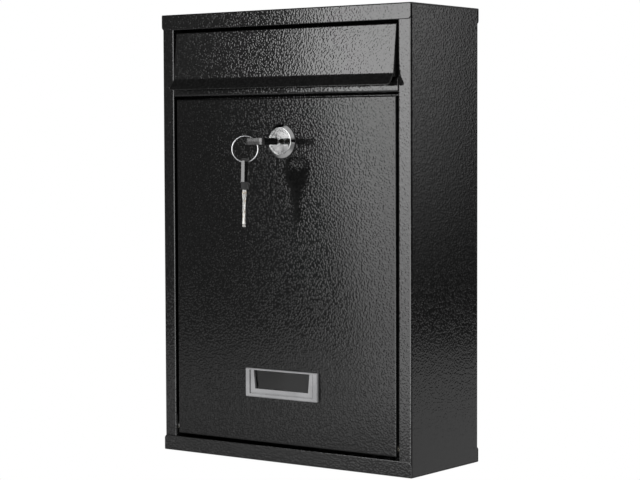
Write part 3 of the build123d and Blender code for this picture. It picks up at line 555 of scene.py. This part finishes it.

# %% [markdown]
# Both key blades are nickel plated brass, milled along their length. A noise stretched
# along the blade gives the milling lines, and a second one lets a little of the brass warm
# the colour in spots. One blade lies along Y and the other hangs along Z, so each gets
# its own stretch. Of the key in the lock only the root shows, and its colour is painted
# nearly black, a painted shade for the dark door that the blade mirrors.

# %% key metal
LINES_ACROSS, LINES_ALONG = 2600, 120
BRASS_SPAN = (0.56, 0.74)
BLADE_ROUGHNESS = (0.06, 0.12)
MILLING_RELIEF, BLADE_EDGE = 0.012 * MM, 0.15 * MM
# Painted shade: the key in the lock gets nearly black nickel and brass, for the dark door its blade
# mirrors.
PAINTED_SHADE_NICKEL, PAINTED_SHADE_BRASS = (0.10, 0.098, 0.094, 1), (0.085, 0.07, 0.05, 1)
CLEAN_NICKEL, CLEAN_BRASS = (0.72, 0.71, 0.69, 1), (0.60, 0.47, 0.30, 1)


def milled_key(name, stretch, nickel, brass):
    """Nickel over brass with milling lines: noise squeezed across the blade by stretch."""
    finish, tree, shader, place = new_finish(name)
    along = wire_up(tree, "ShaderNodeMapping", {"Vector": place, "Scale": stretch})
    lines = noise(tree, along.outputs[0], scale=1.0, detail=3.0)
    spots = noise(tree, place, scale=420.0, detail=2.0)
    fill(tree, shader, {
        "Metallic": 1.0,
        "Base Color": tint(tree, ramp(tree, spots, *BRASS_SPAN, 0.0, 1.0), nickel, brass),
        "Roughness": ramp(tree, lines, *NOISE_SPAN, *BLADE_ROUGHNESS),
        "Normal": relief(tree, lines, MILLING_RELIEF, BLADE_EDGE),
    })
    return finish


lying = (LINES_ACROSS, LINES_ALONG, LINES_ACROSS)
hanging = (LINES_ACROSS, LINES_ACROSS, LINES_ALONG)
# The key in the lock is dressed in the painted shade colours.
dress(milled_key("key_nickel_lying", lying, PAINTED_SHADE_NICKEL, PAINTED_SHADE_BRASS), "key_blade")
dress(milled_key("key_nickel_hanging", hanging, CLEAN_NICKEL, CLEAN_BRASS), "spare_key_blade")

# %% [markdown]
# The key heads are moulded in black plastic. The mould is spark eroded, which leaves a fine
# even grain, and the edges are rounded where the mould halves meet. A fine noise gives the
# grain, and the roughness follows it, so the grain shows in the gloss. The key in use is
# worn duller than the spare.

# %% moulded key heads
HEAD_BLACK, HEAD_GLOSS = 0.006, 0.9
HEAD_EDGE = 0.4 * MM


def moulded_head(name, smooth, grained, grain_height):
    """Black plastic: a fine noise is the grain's height, and the roughness follows it."""
    finish, tree, shader, place = new_finish(name)
    grain = noise(tree, place, scale=2600.0, detail=3.0)
    fill(tree, shader, {
        "Base Color": grey(HEAD_BLACK),
        "Specular IOR Level": HEAD_GLOSS,
        "Roughness": ramp(tree, grain, *NOISE_SPAN, smooth, grained),
        "Normal": relief(tree, grain, grain_height, HEAD_EDGE),
    })
    return finish


dress(moulded_head("key_head_plastic", 0.20, 0.28, grain_height=0.012 * MM), "key_head")
dress(moulded_head("spare_head_plastic", 0.05, 0.09, grain_height=0.001 * MM), "spare_key_head")

# %% [markdown]
# The ring's wire is bright drawn steel. Drawing leaves fine scratches along the wire, too
# small to see as lines here, so a noise in the roughness is enough.

# %% ring wire
WIRE_ROUGHNESS = (0.14, 0.28)

ring_steel, tree, shader, place = new_finish("ring_bright_wire")
scratches = noise(tree, place, scale=1500.0, detail=3.0)
fill(tree, shader, {
    "Metallic": 1.0,
    "Base Color": (0.46, 0.46, 0.47, 1),
    "Roughness": ramp(tree, scratches, *NOISE_SPAN, *WIRE_ROUGHNESS),
})
dress(ring_steel, "ring_wire")

# %% [markdown]
# The name plate holder is moulded in a satin grey plastic, with a clear sheet and a blank
# dark card behind it. The holder gets a soft flow pattern and a fine grain, the sheet is
# a thin dielectric with a little waviness, and the card has paper fibres.

# %% name plate
HOLDER_DARK, HOLDER_LIGHT = (0.25, 0.25, 0.255, 1), (0.31, 0.31, 0.315, 1)
HOLDER_ROUGHNESS, WINDOW_ROUGHNESS, CARD_ROUGHNESS = (0.20, 0.32), (0.04, 0.10), 0.85
HOLDER_RELIEF, WINDOW_RELIEF, CARD_RELIEF = 0.02 * MM, 0.02 * MM, 0.03 * MM
HOLDER_EDGE = 0.3 * MM
WINDOW_IOR = 1.46
CARD_DARK, CARD_LIGHT = (0.085, 0.085, 0.087, 1), (0.105, 0.105, 0.107, 1)

holder, tree, shader, place = new_finish("holder_satin_plastic")
flow = noise(tree, place, scale=90.0, detail=3.0)
satin = noise(tree, place, scale=2200.0, detail=2.0)
fill(tree, shader, {
    "Base Color": tint(tree, ramp(tree, flow, *NOISE_SPAN, 0.0, 1.0), HOLDER_DARK, HOLDER_LIGHT),
    "Roughness": ramp(tree, satin, *NOISE_SPAN, *HOLDER_ROUGHNESS),
    "Normal": relief(tree, satin, HOLDER_RELIEF, HOLDER_EDGE),
})
dress(holder, "name_frame")

clear, tree, shader, place = new_finish("clear_window_sheet")
wave = noise(tree, place, scale=60.0, detail=1.0)
fill(tree, shader, {
    "Base Color": (0.93, 0.94, 0.94, 1),
    "Transmission Weight": 1.0,
    "IOR": WINDOW_IOR,
    "Roughness": ramp(tree, wave, *NOISE_SPAN, *WINDOW_ROUGHNESS),
    "Normal": relief(tree, wave, WINDOW_RELIEF),
})
dress(clear, "name_window")

card, tree, shader, place = new_finish("blank_dark_card")
fibres = noise(tree, place, scale=1800.0, detail=5.0)
fill(tree, shader, {
    "Base Color": tint(tree, ramp(tree, fibres, *NOISE_SPAN, 0.0, 1.0), CARD_DARK, CARD_LIGHT),
    "Roughness": CARD_ROUGHNESS,
    "Normal": relief(tree, fibres, CARD_RELIEF),
})
dress(card, "name_card")

# %% [markdown]
# The studio is what a black glossy coat mostly shows. One large soft box stands in front.
# The front of the mailbox mirrors its left end, so the edge of the light falls across the
# front and leaves the left part dark. That end of its cloth also fades downwards, as it does
# where the bulb hangs high and to the other side. A lamp's own coordinates can say that
# without a texture.

# %% soft box
SOFT_BOX_PLACE = (-0.102, -1.58, 0.227)
SOFT_BOX_LEAN = radians(-11.0)
SOFT_BOX_WIDTH, SOFT_BOX_HEIGHT = 1.99, 1.30
SOFT_BOX_WATTS = 47.0
DARK_BELOW, BRIGHT_FROM = 0.07, 0.61
EVEN_SPAN = (0.16, 0.36)
EVEN_LIGHT = 0.75
SOFT_SIDE = 0.03

lamp = bpy.data.lights.new("front_soft_box", "AREA")
lamp.shape = "RECTANGLE"
lamp.size, lamp.size_y = SOFT_BOX_WIDTH, SOFT_BOX_HEIGHT
lamp.energy = SOFT_BOX_WATTS
lamp.use_nodes = True
tree = lamp.node_tree
on_cloth = wire_up(
    tree, "ShaderNodeSeparateXYZ", {0: tree.nodes.new("ShaderNodeNewGeometry").outputs["Parametric"]}
)
along_cloth, up_cloth = on_cloth.outputs["X"], on_cloth.outputs["Y"]
fading = ramp(tree, up_cloth, DARK_BELOW, BRIGHT_FROM, 0.0, 1.0, "LINEAR")
evenness = ramp(tree, along_cloth, *EVEN_SPAN, 0.0, 1.0)
cloth = wire_up(tree, "ShaderNodeMix", {"Factor": evenness, "A": fading, "B": EVEN_LIGHT}).outputs[0]
left_side = ramp(tree, along_cloth, 0.0, SOFT_SIDE, 0.0, 1.0)
right_side = ramp(tree, along_cloth, 1 - SOFT_SIDE, 1.0, 1.0, 0.0)
fill(tree, tree.nodes["Emission"], {"Strength": product(tree, cloth, left_side, right_side)})
soft_box = add_object("front_soft_box", lamp)
soft_box.matrix_world = (
    Matrix.Translation(SOFT_BOX_PLACE)
    @ Matrix.Rotation(SOFT_BOX_LEAN, 4, "Y")
    @ Matrix.Rotation(pi / 2, 4, "X")
)
soft_box.visible_camera = False
print("soft box", SOFT_BOX_WIDTH, "by", SOFT_BOX_HEIGHT, "m,", SOFT_BOX_WATTS, "W")

# %% [markdown]
# Round the box lies the studio itself, and the world gives all of it by direction. Behind
# on the right a white backdrop rises from a little below eye level and ends at a dark flag.
# The walls are dim, and dark above. The floor in front is pale, brighter in one strip and
# darker close to the box, and behind the box it is even. High up hangs a soft glow, except
# on the left. Plating, paint and glass see all this, the camera sees plain white, and
# everything else gets only the dim light of the room, so that the backdrop doesn't
# brighten the colours.

# %% world
BACKDROP, BACKDROP_SIDE = 1.31, (0.513, 0.553)
BACKDROP_FOOT, BACKDROP_CURVE = (-0.095, 0.070), 1.3
BEHIND = (-0.10, 0.30)
FLAG = (0.60, 0.70)
ROOM_LEFT, ROOM_RIGHT, ROOM_DARK = 0.11, 0.06, 0.02
WALLS_ACROSS, WALLS_TOP = (-0.5, 0.4), (0.30, 0.50)
FLOOR_GLOW, LIT_FLOOR, FAR_FLOOR = 0.70, 1.35, 0.58
STRIP_START, STRIP_END = (-0.635, -0.585), (-0.580, -0.550)
NEAR_FLOOR, NEAR_EDGE = 0.35, (-0.160, -0.149)
FRONT_TO_BACK = (-0.10, 0.10)
FLOOR_LINE = (-0.118, -0.096)
HIGH_GLOW, GLOW_RISE, GLOW_SIDE = 0.50, (0.10, 0.40), (-0.46, -0.40)
ROOM = 0.10

world = bpy.data.worlds.new("studio")
bpy.context.scene.world = world
world.use_nodes = True
tree = world.node_tree
direction = wire_up(
    tree, "ShaderNodeSeparateXYZ", {0: tree.nodes.new("ShaderNodeTexCoord").outputs["Generated"]}
)
to_right, to_back, to_top = (direction.outputs[axis] for axis in "XYZ")


def largest(tree, first, *others):
    """The largest of the values."""
    for other in others:
        first = calculate(tree, "MAXIMUM", first, other)
    return first


rise = calculate(
    tree, "POWER", ramp(tree, to_top, *BACKDROP_FOOT, 0.0, 1.0, "LINEAR"), BACKDROP_CURVE
)
before_flag = ramp(tree, to_right, *FLAG, 1.0, ROOM_DARK)
backdrop = product(
    tree, ramp(tree, to_right, *BACKDROP_SIDE, 0.0, BACKDROP, "LINEAR"), rise, before_flag,
    ramp(tree, to_back, *BEHIND, 0.0, 1.0),
)
walls = product(
    tree, ramp(tree, to_right, *WALLS_ACROSS, ROOM_LEFT, ROOM_RIGHT), before_flag,
    ramp(tree, to_top, *WALLS_TOP, 1.0, ROOM_DARK),
)
front_floor = product(
    tree, ramp(tree, to_right, *STRIP_START, FLOOR_GLOW, LIT_FLOOR),
    ramp(tree, to_right, *STRIP_END, 1.0, FLOOR_GLOW / LIT_FLOOR),
    ramp(tree, to_top, *NEAR_EDGE, NEAR_FLOOR, 1.0),
    ramp(tree, to_back, *FRONT_TO_BACK, 1.0, 0.0),
)
back_floor = ramp(tree, to_back, *FRONT_TO_BACK, 0.0, FAR_FLOOR)
below = product(
    tree, largest(tree, front_floor, back_floor), ramp(tree, to_top, *FLOOR_LINE, 1.0, 0.0)
)
high_glow = product(
    tree, ramp(tree, to_top, *GLOW_RISE, 0.0, HIGH_GLOW), ramp(tree, to_right, *GLOW_SIDE, 0.0, 1.0)
)
path = tree.nodes.new("ShaderNodeLightPath")
mirrored = largest(tree, path.outputs["Is Glossy Ray"], path.outputs["Is Transmission Ray"])
studio = product(tree, largest(tree, backdrop, below, walls, high_glow), mirrored)
room = product(tree, calculate(tree, "SUBTRACT", 1.0, mirrored), ROOM)
fill(tree, tree.nodes["Background"], {
    "Color": grey(1),
    "Strength": largest(tree, studio, room, path.outputs["Is Camera Ray"]),
})
print("backdrop", BACKDROP, "floor", FLOOR_GLOW, "room", ROOM)

# %% [markdown]
# A mailbox hangs on a wall, so the floor lies well below it. It is a plain pale disc that
# thins out towards its rim, so no edge shows against the white.

# %% floor
FLOOR_DROP = -0.80
FLOOR_RADIUS = 1.5
FLOOR_HOOPS, FLOOR_SIDES = 12, 96
FLOOR_MIDDLE, FADE_FROM = 0.02, 0.3
FLOOR_GREY, FLOOR_ROUGHNESS = 0.86, 0.9

turn = np.linspace(0, 2 * pi, FLOOR_SIDES, endpoint=False)
rim = np.stack([np.cos(turn), np.sin(turn)], axis=1)
hoops = np.linspace(1, FLOOR_MIDDLE, FLOOR_HOOPS)[:, None, None] * rim * FLOOR_RADIUS
disc = np.concatenate([hoops, np.full((FLOOR_HOOPS, FLOOR_SIDES, 1), FLOOR_DROP)], axis=2)
index = np.arange(FLOOR_HOOPS * FLOOR_SIDES).reshape(FLOOR_HOOPS, FLOOR_SIDES)
beside = np.roll(index, -1, axis=1)
squares = np.stack([index[:-1], beside[:-1], beside[1:], index[1:]], axis=-1).reshape(-1, 4)
floor_mesh = bpy.data.meshes.new("studio_floor")
floor_mesh.from_pydata(disc.reshape(-1, 3).tolist(), [], squares.tolist() + [index[-1].tolist()])
floor = add_object("studio_floor", floor_mesh)
floor_finish, tree, shader, place = new_finish("pale_floor")
from_middle = distance(tree, place, (1, 1, 0))
fill(tree, shader, {
    "Base Color": grey(FLOOR_GREY),
    "Roughness": FLOOR_ROUGHNESS,
    "Alpha": ramp(tree, from_middle, FADE_FROM * FLOOR_RADIUS, FLOOR_RADIUS, 1.0, 0.0),
})
floor_mesh.materials.append(floor_finish)
print("floor at", FLOOR_DROP)

# %% [markdown]
# The picture keeps the plain view transform, because a filmic one would lift the black coat
# and grey the white.

# %% picture settings
bpy.context.scene.view_settings.view_transform = "Standard"
